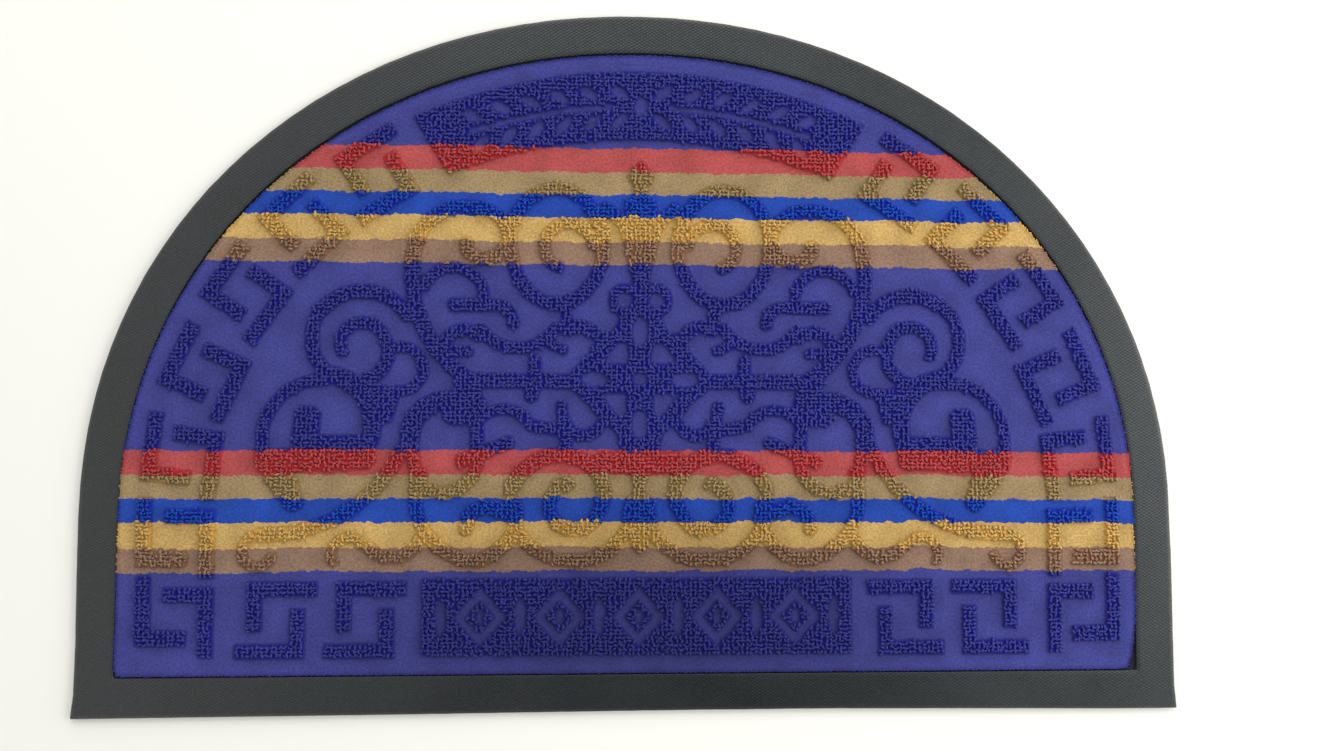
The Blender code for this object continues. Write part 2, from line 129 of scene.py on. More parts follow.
# %% [markdown]
# ## Floor and light
# The mat lies on a plain white floor, under soft light. Two wide area lights stand for windows, one on the
# right and one beyond the arch, and a pale world fills in. Rubber is a little glossy, so it mirrors what is
# above it: the photograph shows it darkest at the middle of the hem, because no light came from straight
# above there. The world is therefore darker in one soft patch of the sky. The Standard view keeps the
# colours as they are set, with no film curve over them.

# %% Floor and light
FLOOR_SIZE = 8.0
FLOOR_Z = -0.1 * MM
FLOOR_COLOUR = (0.93, 0.93, 0.86, 1.0)
FLOOR_ROUGHNESS = 0.7
WORLD_COLOUR = (1.0, 1.0, 1.0, 1.0)
WORLD_STRENGTH = 0.72
SHADY_SKY = (0.07, -0.27, 0.96)
SHADY_FROM, SHADY_TO = 0.91, 0.975
SHADY_SHARE = 0.0
AREA_LIGHTS = (
    # name, place, aimed at, side, power
    ("right_window", (1.5, 0.1, 0.8), (0.0, 0.0, 0.0), 1.3, 20.0),
    ("far_window", (0.0, 1.9, 1.2), (0.0, 0.0, 0.0), 1.8, 26.0),
)

bpy.ops.mesh.primitive_plane_add(size=FLOOR_SIZE, location=(0, 0, FLOOR_Z))
floor = bpy.context.object
floor.name = "floor"
floor_paint = bpy.data.materials.new("white_floor")
floor_paint.use_nodes = True
floor_shader = floor_paint.node_tree.nodes["Principled BSDF"]
floor_shader.inputs["Base Color"].default_value = FLOOR_COLOUR
floor_shader.inputs["Roughness"].default_value = FLOOR_ROUGHNESS
floor.data.materials.append(floor_paint)

world = bpy.data.worlds.new("pale_room")
world.use_nodes = True
sky = world.node_tree.nodes["Background"]
sky.inputs["Color"].default_value = WORLD_COLOUR
view_ray = world.node_tree.nodes.new("ShaderNodeTexCoord")
nearness = world.node_tree.nodes.new("ShaderNodeVectorMath")
nearness.operation = "DOT_PRODUCT"
nearness.inputs[1].default_value = SHADY_SKY
patch = world.node_tree.nodes.new("ShaderNodeMapRange")
patch.interpolation_type = "SMOOTHSTEP"
patch.inputs["From Min"].default_value = SHADY_FROM
patch.inputs["From Max"].default_value = SHADY_TO
patch.inputs["To Min"].default_value = WORLD_STRENGTH
patch.inputs["To Max"].default_value = WORLD_STRENGTH * SHADY_SHARE
world.node_tree.links.new(view_ray.outputs["Generated"], nearness.inputs[0])
world.node_tree.links.new(nearness.outputs["Value"], patch.inputs["Value"])
world.node_tree.links.new(patch.outputs["Result"], sky.inputs["Strength"])
bpy.context.scene.world = world

for light_name, place, target, side, power in AREA_LIGHTS:
    bpy.ops.object.light_add(type="AREA", location=place)
    light = bpy.context.object
    light.name = light_name
    light.data.shape = "SQUARE"
    light.data.size = side
    light.data.energy = power
    light.rotation_euler = (Vector(target) - Vector(place)).to_track_quat("-Z", "Y").to_euler()
bpy.context.scene.view_settings.view_transform = "Standard"
print("lights:", [row[0] for row in AREA_LIGHTS])

# %% [markdown]
# ## Reading the solids
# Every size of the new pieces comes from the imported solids. Their meshes are loose triangles, so a copy
# of each is merged first. The heights of its flat faces are its levels: underside, recess and border for
# the rubber, and underside, pressed ground and standing loops for the panel. An outline is the closed run of
# edges at one level where a flat face meets a wall.

# %% Reading the solids
WELD = 0.002 * MM
FLAT_NORMAL = 0.9


def merged_copy(node_name):
    """A bmesh of the solid, with its doubled points merged."""
    copy = bmesh.new()
    copy.from_mesh(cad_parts[node_name].data)
    bmesh.ops.remove_doubles(copy, verts=copy.verts, dist=WELD)
    copy.faces.ensure_lookup_table()
    return copy


def levels_of(solid):
    """The different heights of the solid's points, from low to high."""
    return sorted({round(vert.co.z, 5) for vert in solid.verts})


def is_flat(face):
    """Whether the face lies level, or nearly so."""
    return abs(face.normal.z) > FLAT_NORMAL


def outline_at(solid, level):
    """The places along the one closed outline at this level, in order."""
    rim = {}
    for edge in solid.edges:
        at_level = all(abs(vert.co.z - level) < WELD for vert in edge.verts)
        if at_level and len({is_flat(face) for face in edge.link_faces}) == 2:
            for vert in edge.verts:
                rim.setdefault(vert, []).append(edge.other_vert(vert))
    first = next(iter(rim))
    walk = [first, rim[first][0]]
    while walk[-1] is not first:
        ahead = [vert for vert in rim[walk[-1]] if vert is not walk[-2]]
        walk.append(ahead[0])
    return np.array([vert.co[:2] for vert in walk[:-1]])


rubber_solid = merged_copy("rubber_base")
panel_solid = merged_copy("pile_insert")
UNDER_Z, RECESS_Z, BORDER_Z = levels_of(rubber_solid)
PANEL_Z, GROUND_Z, LOOP_Z = levels_of(panel_solid)
mat_outline = outline_at(rubber_solid, UNDER_Z)
recess_outline = outline_at(rubber_solid, RECESS_Z)
panel_outline = outline_at(panel_solid, PANEL_Z)
print("outline points:", len(mat_outline), len(recess_outline), len(panel_outline))

# %% [markdown]
# ## Working with outlines
# The outlines have few points, because straight facets were enough for the solids. Finer pieces need them
# closer together. The mat's two lower corners stay where they are, and between them the points are set out
# evenly: along the hem, and round the arch. Two outlines spaced in the same way can then be bridged face
# by face.

# %% Working with outlines
def between_corners(outline):
    """The outline cut at its two lower corners: the hem, and the way round the arch, as two runs."""
    left = int(np.argmin(outline[:, 0] + outline[:, 1]))
    turned = np.roll(outline, -left, axis=0)
    if turned[1, 0] < turned[-1, 0]:
        turned = np.roll(turned[::-1], 1, axis=0)
    right = int(np.argmax(turned[:, 0] - turned[:, 1]))
    return turned[: right + 1], np.vstack([turned[right:], turned[:1]])


def evenly(run, count):
    """This many points along the run, its first included and its last left for the next run."""
    steps = np.hypot(*np.diff(run, axis=0).T)
    along = np.concatenate([[0.0], np.cumsum(steps)])
    wanted = np.linspace(0.0, along[-1], count, endpoint=False)
    return np.column_stack([np.interp(wanted, along, run[:, axis]) for axis in (0, 1)])


def spaced_outline(outline, hem_count, arch_count):
    """The outline with evenly spaced points, counter-clockwise from the lower left corner."""
    hem, arch = between_corners(outline)
    return np.vstack([evenly(hem, hem_count), evenly(arch, arch_count)])


def distance_to(outline, places):
    """How far each place lies from the outline, in plan."""
    starts = outline
    runs = np.roll(outline, -1, axis=0) - outline
    squares = (runs**2).sum(axis=1)
    nearest = np.full(len(places), np.inf)
    for start, run, square in zip(starts, runs, squares):
        away = places - start
        share = np.clip(away @ run / square, 0.0, 1.0)
        nearest = np.minimum(nearest, np.hypot(*(away - share[:, None] * run).T))
    return nearest


def is_inside(outline, places):
    """Whether each place lies inside the outline, by counting the edges to its right."""
    inside = np.zeros(len(places), bool)
    for (xa, ya), (xb, yb) in zip(outline, np.roll(outline, -1, axis=0)):
        spans = (ya > places[:, 1]) != (yb > places[:, 1])
        if ya != yb:
            crossing = xa + (places[:, 1] - ya) * (xb - xa) / (yb - ya)
            inside ^= spans & (places[:, 0] < crossing)
    return inside


def area_of(outline):
    """The area inside the outline."""
    x, y = outline.T
    return abs(x @ np.roll(y, -1) - y @ np.roll(x, -1)) / 2


print("carpet panel, square m:", round(area_of(panel_outline), 4))

# %% [markdown]
# ## Rubber mat
# The real sheet is moulded in one piece and trimmed by hand, so its edge wanders by a fraction of a
# millimetre, and its border isn't perfectly flat. It could be cut from a plane and thickened, but the
# border is a long strip of even width, so it is made as one: the two outlines are laid down as loops of edges
# and bridged, with cuts along the strip. The outer loop is then extruded down to the floor and filled, the
# inner one down to the recess and filled, and a bevel rounds the rims.

# %% Rubber mat, the strip and its walls
HEM_STEPS = 230
ARCH_STEPS = 440
STRIP_CUTS = 7


def select_rim(piece, level, inner):
    """In edit mode, selects the open edges at this level that belong to the inner or the outer loop."""
    bpy.ops.mesh.select_mode(type="EDGE")
    bpy.ops.mesh.select_all(action="DESELECT")
    edit = bmesh.from_edit_mesh(piece.data)
    for edge in edit.edges:
        middle = (edge.verts[0].co + edge.verts[1].co) / 2
        if edge.is_boundary and abs(middle.z - level) < WELD:
            to_recess = distance_to(recess_outline, np.array([middle[:2]]))[0]
            edge.select = bool(to_recess < STRIP_SPLIT) == inner
    edit.select_flush_mode()
    bmesh.update_edit_mesh(piece.data)


outer_ring = spaced_outline(mat_outline, HEM_STEPS, ARCH_STEPS)
inner_ring = spaced_outline(recess_outline, HEM_STEPS, ARCH_STEPS)
STRIP_SPLIT = distance_to(mat_outline, inner_ring).min() / 2
ring_size = len(outer_ring)
ring_places = [(x, y, BORDER_Z) for x, y in np.vstack([outer_ring, inner_ring])]
ring_edges = []
for first in (0, ring_size):
    ring_edges += [(first + step, first + (step + 1) % ring_size) for step in range(ring_size)]
rubber_mesh = bpy.data.meshes.new("rubber_mat")
rubber_mesh.from_pydata(ring_places, ring_edges, [])
rubber = new_piece("rubber_mat", rubber_mesh)

pick(rubber)
bpy.ops.object.mode_set(mode="EDIT")
bpy.ops.mesh.select_all(action="SELECT")
bpy.ops.mesh.bridge_edge_loops(number_cuts=STRIP_CUTS, interpolation="LINEAR")
select_rim(rubber, BORDER_Z, inner=False)
bpy.ops.mesh.extrude_region_move(TRANSFORM_OT_translate={"value": (0, 0, UNDER_Z - BORDER_Z)})
bpy.ops.mesh.edge_face_add()
select_rim(rubber, BORDER_Z, inner=True)
bpy.ops.mesh.extrude_region_move(TRANSFORM_OT_translate={"value": (0, 0, RECESS_Z - BORDER_Z)})
bpy.ops.mesh.edge_face_add()
bpy.ops.mesh.select_all(action="SELECT")
bpy.ops.mesh.normals_make_consistent(inside=False)
bpy.ops.object.mode_set(mode="OBJECT")
print("rubber faces:", len(rubber.data.polygons))

# %% [markdown]
# ## Rubber mat, the handwork
# The trimmed edge gets small wanderings from smooth noise, and the border's top rises and falls by a
# tenth of a millimetre. The underside stays flat, because the mat rests on it. Each point keeps its distance
# to the trimmed edge, as an attribute that the rubber's finish reads later. Each use of the noise has a layer
# number of its own, so that no two of its patterns are alike.

# %% Rubber mat, the handwork
TRIM_WANDER = 0.15 * MM
TRIM_PERIOD = 9.0 * MM
BORDER_SWELL = 0.12 * MM
SWELL_PERIOD = 22.0 * MM
TRIM_LAYER, BORDER_LAYER = 3.0, 5.0
RIM_ROUND = 0.6 * MM
RIM_SEGMENTS = 3
RIM_ANGLE = radians(50)
RUBBER_SMOOTH_ANGLE = radians(40)


def smooth_noise(x, y, period, layer):
    """Soft noise between about -1 and 1, the same each run."""
    return noise.noise(Vector((x / period, y / period, layer)))


places = point_places(rubber.data)
to_edge = distance_to(mat_outline, places[:, :2])
mat_middle = places[:, :2].mean(axis=0)
for index, (x, y, z) in enumerate(places):
    if to_edge[index] < STRIP_SPLIT / STRIP_CUTS:
        from_middle = places[index, :2] - mat_middle
        outwards = from_middle / np.hypot(*from_middle)
        places[index, :2] += outwards * TRIM_WANDER * smooth_noise(x, y, TRIM_PERIOD, TRIM_LAYER)
    if z > RECESS_Z + WELD:
        places[index, 2] += BORDER_SWELL * smooth_noise(x, y, SWELL_PERIOD, BORDER_LAYER)
rubber.data.vertices.foreach_set("co", places.astype(np.float32).ravel())
rubber.data.update()

rims = rubber.modifiers.new("rounded_rims", "BEVEL")
rims.limit_method = "ANGLE"
rims.angle_limit = RIM_ANGLE
rims.width = RIM_ROUND
rims.segments = RIM_SEGMENTS
pick(rubber)
bpy.ops.object.modifier_apply(modifier=rims.name)
bpy.ops.object.shade_smooth_by_angle(angle=RUBBER_SMOOTH_ANGLE)
rounded_places = point_places(rubber.data)
give_attribute(rubber.data, "to_edge", "FLOAT", distance_to(mat_outline, rounded_places[:, :2]))
print("rubber triangles:", sum(len(face.vertices) - 2 for face in rubber.data.polygons))

# %% [markdown]
# ## Where the pile stands
# The loops stand exactly where the solid panel is raised, so its faces say where to plant them. A ray
# sent down onto the panel finds the height at any place. A search tree over points along the raised edges
# tells how far that place is from the nearest of them. The two together give a signed distance: positive in
# the ornament, negative on the pressed ground.

# %% Where the pile stands
EDGE_SAMPLE = 0.7 * MM
RAY_START = 0.05

panel_tree = BVHTree.FromBMesh(panel_solid)
wall_points = []
for edge in panel_solid.edges:
    at_top = all(abs(vert.co.z - LOOP_Z) < WELD for vert in edge.verts)
    if at_top and len({is_flat(face) for face in edge.link_faces}) == 2:
        start, end = (vert.co for vert in edge.verts)
        samples = max(1, int((end - start).length / EDGE_SAMPLE))
        wall_points += [start.lerp(end, (step + 0.5) / samples) for step in range(samples)]
wall_tree = KDTree(len(wall_points))
for index, wall_point in enumerate(wall_points):
    wall_tree.insert((wall_point.x, wall_point.y, 0.0), index)
wall_tree.balance()


def into_ornament(x, y):
    """Distance to the edge of the standing pile: positive inside it, negative on the pressed ground."""
    away = wall_tree.find((x, y, 0.0))[2]
    hit = panel_tree.ray_cast(Vector((x, y, RAY_START)), Vector((0, 0, -1)))[0]
    is_raised = hit is not None and hit.z > (GROUND_Z + LOOP_Z) / 2
    return away if is_raised else -away


print("points along the raised edges:", len(wall_points))

# %% [markdown]
# ## Pressed carpet
# This is the cloth itself: a sheet that a hot plate has flattened, a little uneven, and lower than the
# standing loops. It lies flat in the recess, so there is nothing to drape and no simulation to run. Its
# outline is followed exactly, and points a couple of millimetres apart fill the inside, each nudged off the
# grid so that no rows show. A Delaunay triangulation joins them.

# %% Pressed carpet, the sheet
GROUND_STEP = 1.8 * MM
GROUND_NUDGE = 0.3
RIM_CLEARANCE = 0.6
PANEL_HEM_LENGTH = 648.0 * MM
PANEL_ARCH_LENGTH = 1120.0 * MM

edge_steps = [int(round(length / GROUND_STEP)) for length in (PANEL_HEM_LENGTH, PANEL_ARCH_LENGTH)]
rim_ring = spaced_outline(panel_outline, *edge_steps)
low_corner, high_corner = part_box("pile_insert")
grid_columns = np.arange(low_corner.x, high_corner.x, GROUND_STEP)
grid_rows = np.arange(low_corner.y, high_corner.y, GROUND_STEP)
grid = np.array(np.meshgrid(grid_columns, grid_rows)).reshape(2, -1).T
grid += rng.uniform(-GROUND_NUDGE, GROUND_NUDGE, grid.shape) * GROUND_STEP
grid = grid[is_inside(panel_outline, grid)]
grid = grid[distance_to(panel_outline, grid) > RIM_CLEARANCE * GROUND_STEP]
plan_points = [Vector(place) for place in np.vstack([rim_ring, grid])]
rim_face = [list(range(len(rim_ring)))]
flat_points, _, flat_faces, *_ = delaunay_2d_cdt(plan_points, [], rim_face, 1, WELD)
depth_in = np.array([into_ornament(*place) for place in flat_points])
print("carpet points:", len(flat_points), "share under loops:", round(float((depth_in > 0).mean()), 3))

# %% [markdown]
# ## Pressed carpet, its relief and thickness
# The flat sheet now gets its heights. Open ground swells and is a little grainy, and under the standing loops
# the sheet rises to the bed that their feet stand in. Its rim is extruded, set down on the panel's underside
# and filled, so the sheet is a closed body as thick as the real one. Each point keeps two distances for the
# finish: how far it lies in the ornament, and how far from the rim.

# %% Pressed carpet, its relief and thickness
BED_RISE = 0.75 * MM
BED_SLOPE = 1.0 * MM
GROUND_SWELL = 0.10 * MM
GROUND_SWELL_PERIOD = 14.0 * MM
GROUND_GRAIN = 0.05 * MM
GROUND_GRAIN_PERIOD = 3.0 * MM
GROUND_SWELL_LAYER, GROUND_GRAIN_LAYER = 1.0, 2.0
CARPET_SMOOTH_ANGLE = radians(50)
CLEAR_OF_LOOPS = -10 * MM

ground_places = []
for (x, y), depth in zip(flat_points, depth_in):
    rise = BED_RISE * np.clip(0.5 + depth / BED_SLOPE, 0.0, 1.0)
    swell = GROUND_SWELL * smooth_noise(x, y, GROUND_SWELL_PERIOD, GROUND_SWELL_LAYER)
    swell += GROUND_GRAIN * smooth_noise(x, y, GROUND_GRAIN_PERIOD, GROUND_GRAIN_LAYER)
    ground_places.append((x, y, GROUND_Z + rise + swell))
carpet_mesh = bpy.data.meshes.new("pressed_carpet")
carpet_mesh.from_pydata(ground_places, [], flat_faces)
carpet = new_piece("pressed_carpet", carpet_mesh)
pick(carpet)
bpy.ops.object.mode_set(mode="EDIT")
bpy.ops.mesh.select_all(action="SELECT")
bpy.ops.mesh.normals_make_consistent(inside=False)
bpy.ops.mesh.region_to_loop()
bpy.ops.mesh.extrude_region_move()
bpy.ops.transform.resize(value=(1, 1, 0))
bpy.ops.object.mode_set(mode="OBJECT")
carpet_places = point_places(carpet.data)
foot = np.arange(len(ground_places), len(carpet_places))
carpet_places[foot, 2] = PANEL_Z
carpet.data.vertices.foreach_set("co", carpet_places.astype(np.float32).ravel())
bpy.ops.object.mode_set(mode="EDIT")
bpy.ops.mesh.edge_face_add()
bpy.ops.mesh.select_all(action="SELECT")
bpy.ops.mesh.normals_make_consistent(inside=False)
bpy.ops.object.mode_set(mode="OBJECT")
bpy.ops.object.shade_smooth_by_angle(angle=CARPET_SMOOTH_ANGLE)
carpet_depth = np.concatenate([depth_in, np.full(len(foot), CLEAR_OF_LOOPS)])
give_attribute(carpet.data, "into_ornament", "FLOAT", carpet_depth / MM)
give_attribute(carpet.data, "to_rim", "FLOAT", distance_to(panel_outline, carpet_places[:, :2]) / MM)
print("carpet triangles:", sum(len(face.vertices) - 2 for face in carpet.data.polygons))

# %% [markdown]
# ## One yarn loop
# A loop of pile is a short arch of yarn with both feet in the backing. Seen from above it is a stubby
# bead, longer than it is wide. The arch is a pentagon spun through half a turn: five sides are plenty for
# yarn a millimetre and a half thick that will be repeated many thousand times. The top is then pushed
# sideways in two copies, because real loops lean both ways.

# %% One yarn loop
YARN_SIDES = 5
YARN_RADIUS = 0.76 * MM
ARCH_RADIUS = 1.0 * MM
ARCH_CUTS = 3
LEAN = 0.45 * MM
LEAN_ABOVE = ARCH_RADIUS / 3


def yarn_loop(name, lean):
    """A small arch of yarn standing on the XY plane, its feet apart along Y and its top pushed along X."""
    bpy.ops.object.select_all(action="DESELECT")
    bpy.ops.mesh.primitive_circle_add(
        vertices=YARN_SIDES, radius=YARN_RADIUS, fill_type="NGON", location=(0, ARCH_RADIUS, 0)
    )
    loop = bpy.context.object
    loop.name = name
    bpy.ops.object.transform_apply(location=True, rotation=True, scale=True)
    bpy.ops.object.mode_set(mode="EDIT")
    bpy.ops.mesh.select_all(action="SELECT")
    bpy.ops.mesh.spin(steps=ARCH_CUTS, angle=pi, center=(0, 0, 0), axis=(-1, 0, 0))
    bpy.ops.mesh.select_all(action="SELECT")
    bpy.ops.mesh.normals_make_consistent(inside=False)
    bpy.ops.mesh.select_all(action="DESELECT")
    edit = bmesh.from_edit_mesh(loop.data)
    for vert in edit.verts:
        vert.select = vert.co.z > LEAN_ABOVE
    edit.select_flush_mode()
    bmesh.update_edit_mesh(loop.data)
    bpy.ops.transform.translate(value=(lean, 0, 0))
    bpy.ops.object.mode_set(mode="OBJECT")
    return loop


patterns = [yarn_loop("loop_upright", 0.0), yarn_loop("loop_right", LEAN), yarn_loop("loop_left", -LEAN)]
LOOP_HEIGHT = point_places(patterns[0].data)[:, 2].max()
print("loop faces:", len(patterns[0].data.polygons), "height, mm:", round(LOOP_HEIGHT / MM, 2))

# %% [markdown]
# ## Where each loop goes
# The machine that made the carpet set its loops in columns 3 mm apart, with a row every 2.45 mm, and the
# photograph still shows both. Each place on that lattice is nudged, and it is kept where it lies inside
# the ornament. Some loops lie across the columns, and shorter ones bridge the gap from one column to the
# next, which makes the surface look like a maze close up. Smooth noise decides where the crosswise ones
# gather.

# %% Where each loop goes
COLUMN_PITCH = 3.0 * MM
ROW_PITCH = 2.45 * MM
NUDGE = (0.42 * MM, 0.45 * MM)
COLUMN_MARGIN = (0.2 * MM, 0.8 * MM)
BRIDGE_MARGIN = (0.7 * MM, 1.3 * MM)
BRIDGE_SHARE = 0.62
ACROSS_SHARE = (0.05, 0.25, 0.7)
ACROSS_PERIOD = 16.0 * MM
ACROSS_SWING = 1.1
ACROSS_LAYER = 7.0

loop_columns = np.arange(low_corner.x, high_corner.x, COLUMN_PITCH)
loop_rows = np.arange(low_corner.y, high_corner.y, ROW_PITCH)
lattice = np.array(np.meshgrid(loop_columns, loop_rows)).reshape(2, -1).T


def kept(spots, margin):
    """The spots, nudged, that lie far enough inside the ornament."""
    spots = spots + rng.uniform(-1, 1, spots.shape) * NUDGE
    depths = np.array([into_ornament(x, y) for x, y in spots])
    return spots[depths > rng.uniform(*margin, len(spots))]


column_spots = kept(lattice, COLUMN_MARGIN)
between = lattice[rng.random(len(lattice)) < BRIDGE_SHARE] + (COLUMN_PITCH / 2, 0.0)
bridge_spots = kept(between, BRIDGE_MARGIN)
least, usual, most = ACROSS_SHARE
drift = np.array([smooth_noise(x, y, ACROSS_PERIOD, ACROSS_LAYER) for x, y in column_spots])
lies_across = rng.random(len(column_spots)) < np.clip(usual + ACROSS_SWING * drift, least, most)
print("loops in columns:", len(column_spots), "bridges:", len(bridge_spots))

# %% [markdown]
# ## Tufts along the cut edge
# Where the panel was cut from its roll, the pile sticks out over the edge in small tufts. They stand close
# together along the panel's outline and point outwards, and they are painted darker than the standing loops,
# a painted shade for the shade of the border that they hang in.

# %% Tufts along the cut edge
TUFT_STEPS = (420, 780)
TUFT_INSET = 0.15 * MM
TUFT_NUDGE = 0.6 * MM
TUFT_NUDGE_SHARES = (1.0, 0.3)

tuft_spots = spaced_outline(panel_outline, *TUFT_STEPS)
tuft_spots += rng.uniform(-TUFT_NUDGE, TUFT_NUDGE, (len(tuft_spots), 1)) * TUFT_NUDGE_SHARES
ahead = np.roll(tuft_spots, -1, axis=0) - np.roll(tuft_spots, 1, axis=0)
outwards = np.column_stack([ahead[:, 1], -ahead[:, 0]]) / np.hypot(*ahead.T)[:, None]
tuft_spots -= TUFT_INSET * outwards
tuft_turns = np.arctan2(-outwards[:, 0], outwards[:, 1])
print("tufts:", len(tuft_spots))

# %% [markdown]
# ## Planting the loops
# Many thousand objects would be slow, so the copies are worked out as arrays and joined into a few
# meshes. A table gives each loop its place, turn, stretch and tone. Each point of a mesh also keeps three
# things for the finish: where its loop is rooted, the loop's own tone, and how high up the loop it is.

# %% Planting the loops, the table
# ranges of width, length and height as shares of the pattern's, then the crown's brightness
COLUMN_LOOPS = ((0.85, 1.15), (0.9, 1.25), (0.92, 1.04), 1.0)
BRIDGE_LOOPS = ((0.65, 0.9), (0.75, 1.0), (0.78, 0.92), 0.85)
# the tufts' lower crown brightness is a painted shade of the border
HEM_TUFTS = ((0.6, 1.0), (0.3, 0.55), (0.35, 0.5), 0.75)
ARCH_TUFTS = ((0.6, 1.0), (0.3, 0.7), (0.35, 0.5), 0.65)
TURN_SPREAD = radians(20)
TUFT_SINK = 0.3


def loop_table(spots, turns, foot_z, kind):
    """A row for each loop: place, turn, stretch along three axes, tone, and brightness of its crown."""
    widths, lengths, heights, crown = kind
    count = len(spots)
    turns = turns + rng.normal(0.0, TURN_SPREAD, count)
    stretch = np.column_stack([rng.uniform(*spread, count) for spread in (widths, lengths, heights)])
    tones = rng.uniform(-1.0, 1.0, count)
    return np.column_stack([spots, np.full(count, foot_z), turns, stretch, tones, np.full(count, crown)])


def joined_loops(name, table):
    """One mesh with a copy of a pattern for each row of the table."""
    chosen = rng.integers(0, len(patterns), len(table))
    all_points, all_faces, all_roots, all_tones, all_crowns = [], [], [], [], []
    start = 0
    for number, pattern in enumerate(patterns):
        shape = point_places(pattern.data)
        height_share = np.clip(shape[:, 2] / LOOP_HEIGHT, 0.0, 1.0)
        faces = np.array([face.vertices[:] for face in pattern.data.polygons], object)
        for x, y, z, turn, *stretch, tone, crown in table[chosen == number]:
            turning = np.array([[cos(turn), sin(turn), 0], [-sin(turn), cos(turn), 0], [0, 0, 1]])
            all_points.append(shape * stretch @ turning + (x, y, z))
            all_faces += [[start + corner for corner in face] for face in faces]
            all_roots.append(np.tile((x, y, 0.0), (len(shape), 1)))
            all_tones.append(np.full(len(shape), tone))
            # the crown value sets a painted shade: dark at a loop's feet, fading towards its crown
            all_crowns.append(height_share * crown)
            start += len(shape)
    mesh = bpy.data.meshes.new(name)
    mesh.from_pydata(np.vstack(all_points), [], all_faces)
    mesh.shade_smooth()
    give_attribute(mesh, "root", "FLOAT_VECTOR", np.vstack(all_roots))
    give_attribute(mesh, "tone", "FLOAT", np.concatenate(all_tones))
    give_attribute(mesh, "crown", "FLOAT", np.concatenate(all_crowns))
    return new_piece(name, mesh)


foot_z = LOOP_Z - LOOP_HEIGHT
tuft_z = GROUND_Z - TUFT_SINK * LOOP_HEIGHT
ornament_loops = np.vstack(
    [
        loop_table(column_spots, np.where(lies_across, pi / 2, 0.0), foot_z, COLUMN_LOOPS),
        loop_table(bridge_spots, pi / 2, foot_z, BRIDGE_LOOPS),
    ]
)
hem_count = TUFT_STEPS[0]
tufts = np.vstack(
    [
        loop_table(tuft_spots[:hem_count], tuft_turns[:hem_count], tuft_z, HEM_TUFTS),
        loop_table(tuft_spots[hem_count:], tuft_turns[hem_count:], tuft_z, ARCH_TUFTS),
    ]
)
print("rows in the tables:", len(ornament_loops), len(tufts))

# %% [markdown]
# ## The loop pieces
# The loops are parted into a few pieces by where they stand, so that no mesh grows too large: the hem band,
# the arch band, and the rest of the ornament from left to right.

# %% The loop pieces
HEM_BAND_TOP = -137.0 * MM
HEM_BAND_HALF = 138.0 * MM
ARCH_BAND_CENTRE = -188.3 * MM
ARCH_BAND_RADIUS = 328.0 * MM
ARCH_BAND_APEX = -110.0 * MM
ARCH_BAND_SLOPE = 0.62
MIDDLE_HALF = 106.0 * MM

loop_x, loop_y = ornament_loops[:, 0], ornament_loops[:, 1]
in_hem_band = (loop_y < HEM_BAND_TOP) & (abs(loop_x) < HEM_BAND_HALF)
in_arch_band = np.hypot(loop_x, loop_y - ARCH_BAND_CENTRE) > ARCH_BAND_RADIUS
in_arch_band &= abs(loop_x) < ARCH_BAND_SLOPE * (loop_y - ARCH_BAND_APEX)
elsewhere = ~in_hem_band & ~in_arch_band
loop_groups = {
    "hem_band_loops": ornament_loops[in_hem_band],
    "arch_band_loops": ornament_loops[in_arch_band],
    "ornament_loops_left": ornament_loops[elsewhere & (loop_x < -MIDDLE_HALF)],
    "ornament_loops_middle": ornament_loops[elsewhere & (abs(loop_x) <= MIDDLE_HALF)],
    "ornament_loops_right": ornament_loops[elsewhere & (loop_x > MIDDLE_HALF)],
    "edge_tufts": tufts,
}
loop_pieces = [joined_loops(name, table) for name, table in loop_groups.items()]
for pattern in patterns:
    bpy.data.objects.remove(pattern)
for piece in loop_pieces:
    print(piece.name, "triangles:", sum(len(face.vertices) - 2 for face in piece.data.polygons))

# %% [markdown]
# ## Shade between the loops
# Where loops crowd round a patch of pressed pile, as in the two bands, fuzz and a painted shade make that
# patch darker than open ground. For each point of the pressed carpet, the loops within a few millimetres are
# counted with a search tree, and their number is kept as a share of the most that fit there.

# %% Shade between the loops
CROWD_REACH = 9.0 * MM

root_tree = KDTree(len(column_spots))
for index, (x, y) in enumerate(column_spots):
    root_tree.insert((x, y, 0.0), index)
root_tree.balance()
most_roots = pi * CROWD_REACH**2 / (COLUMN_PITCH * ROW_PITCH)
crowd_shares = []
for x, y, _ in point_places(carpet.data):
    crowd_shares.append(len(root_tree.find_range((x, y, 0.0), CROWD_REACH)) / most_roots)
# this share sets a painted shade on the pressed carpet
give_attribute(carpet.data, "crowding", "FLOAT", crowd_shares)
print("crowding, mean:", round(float(np.mean(crowd_shares)), 2))

# %% [markdown]
# ## Finishes
# Rubber and carpet each get a material from nodes. Short functions add the nodes that come up again and
# again, so that each finish below reads as a list of what it is made of. A painted shadow lies over the
# middle of the mat's hem and darkens it by up to a third, so one function gives that painted shadow to every
# finish. Most values of a noise texture lie near its middle, so a finish stretches that part of the range.

# %% Finishes, tools
MAT_HALF = 350.0 * MM
# a painted shadow over the middle of the hem: its centre, its reach, and the brightness at its middle
PAINTED_SHADOW_CENTRE = (0.0, -200.0 * MM, 0.0)
PAINTED_SHADOW_REACH = (220.0 * MM, 135.0 * MM)
PAINTED_SHADOW_BRIGHTNESS = 0.64
NOISE_RANGE = (0.3, 0.7)
NOISE_CORE = (0.35, 0.65)


